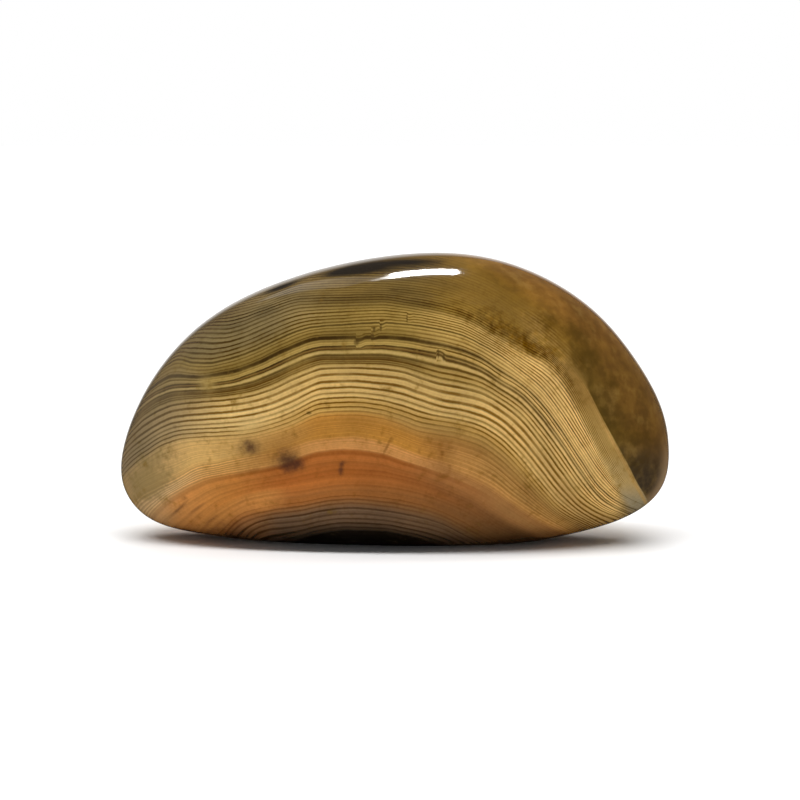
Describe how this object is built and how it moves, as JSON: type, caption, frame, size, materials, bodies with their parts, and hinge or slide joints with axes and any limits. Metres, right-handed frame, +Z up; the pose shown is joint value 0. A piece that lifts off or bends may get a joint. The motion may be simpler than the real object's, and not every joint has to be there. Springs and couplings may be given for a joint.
{
  "type": "polished banded agate specimen",
  "caption": "Tumbled and polished banded agate pebble, a flattened half-oval that stands on a worn flat.",
  "frame": {"origin": "on the resting flat, under the centre of the stone's box", "axes": "+X along the stone's length, +Y through its thickness from the broad front face to the back, +Z up"},
  "size_m": [0.045, 0.0183, 0.0235],
  "materials": {
    "agate": "high natural polish, translucent, finely banded"
  },
  "bodies": {
    "root": {"agate_stone": "agate"}
  },
  "joints": []
}
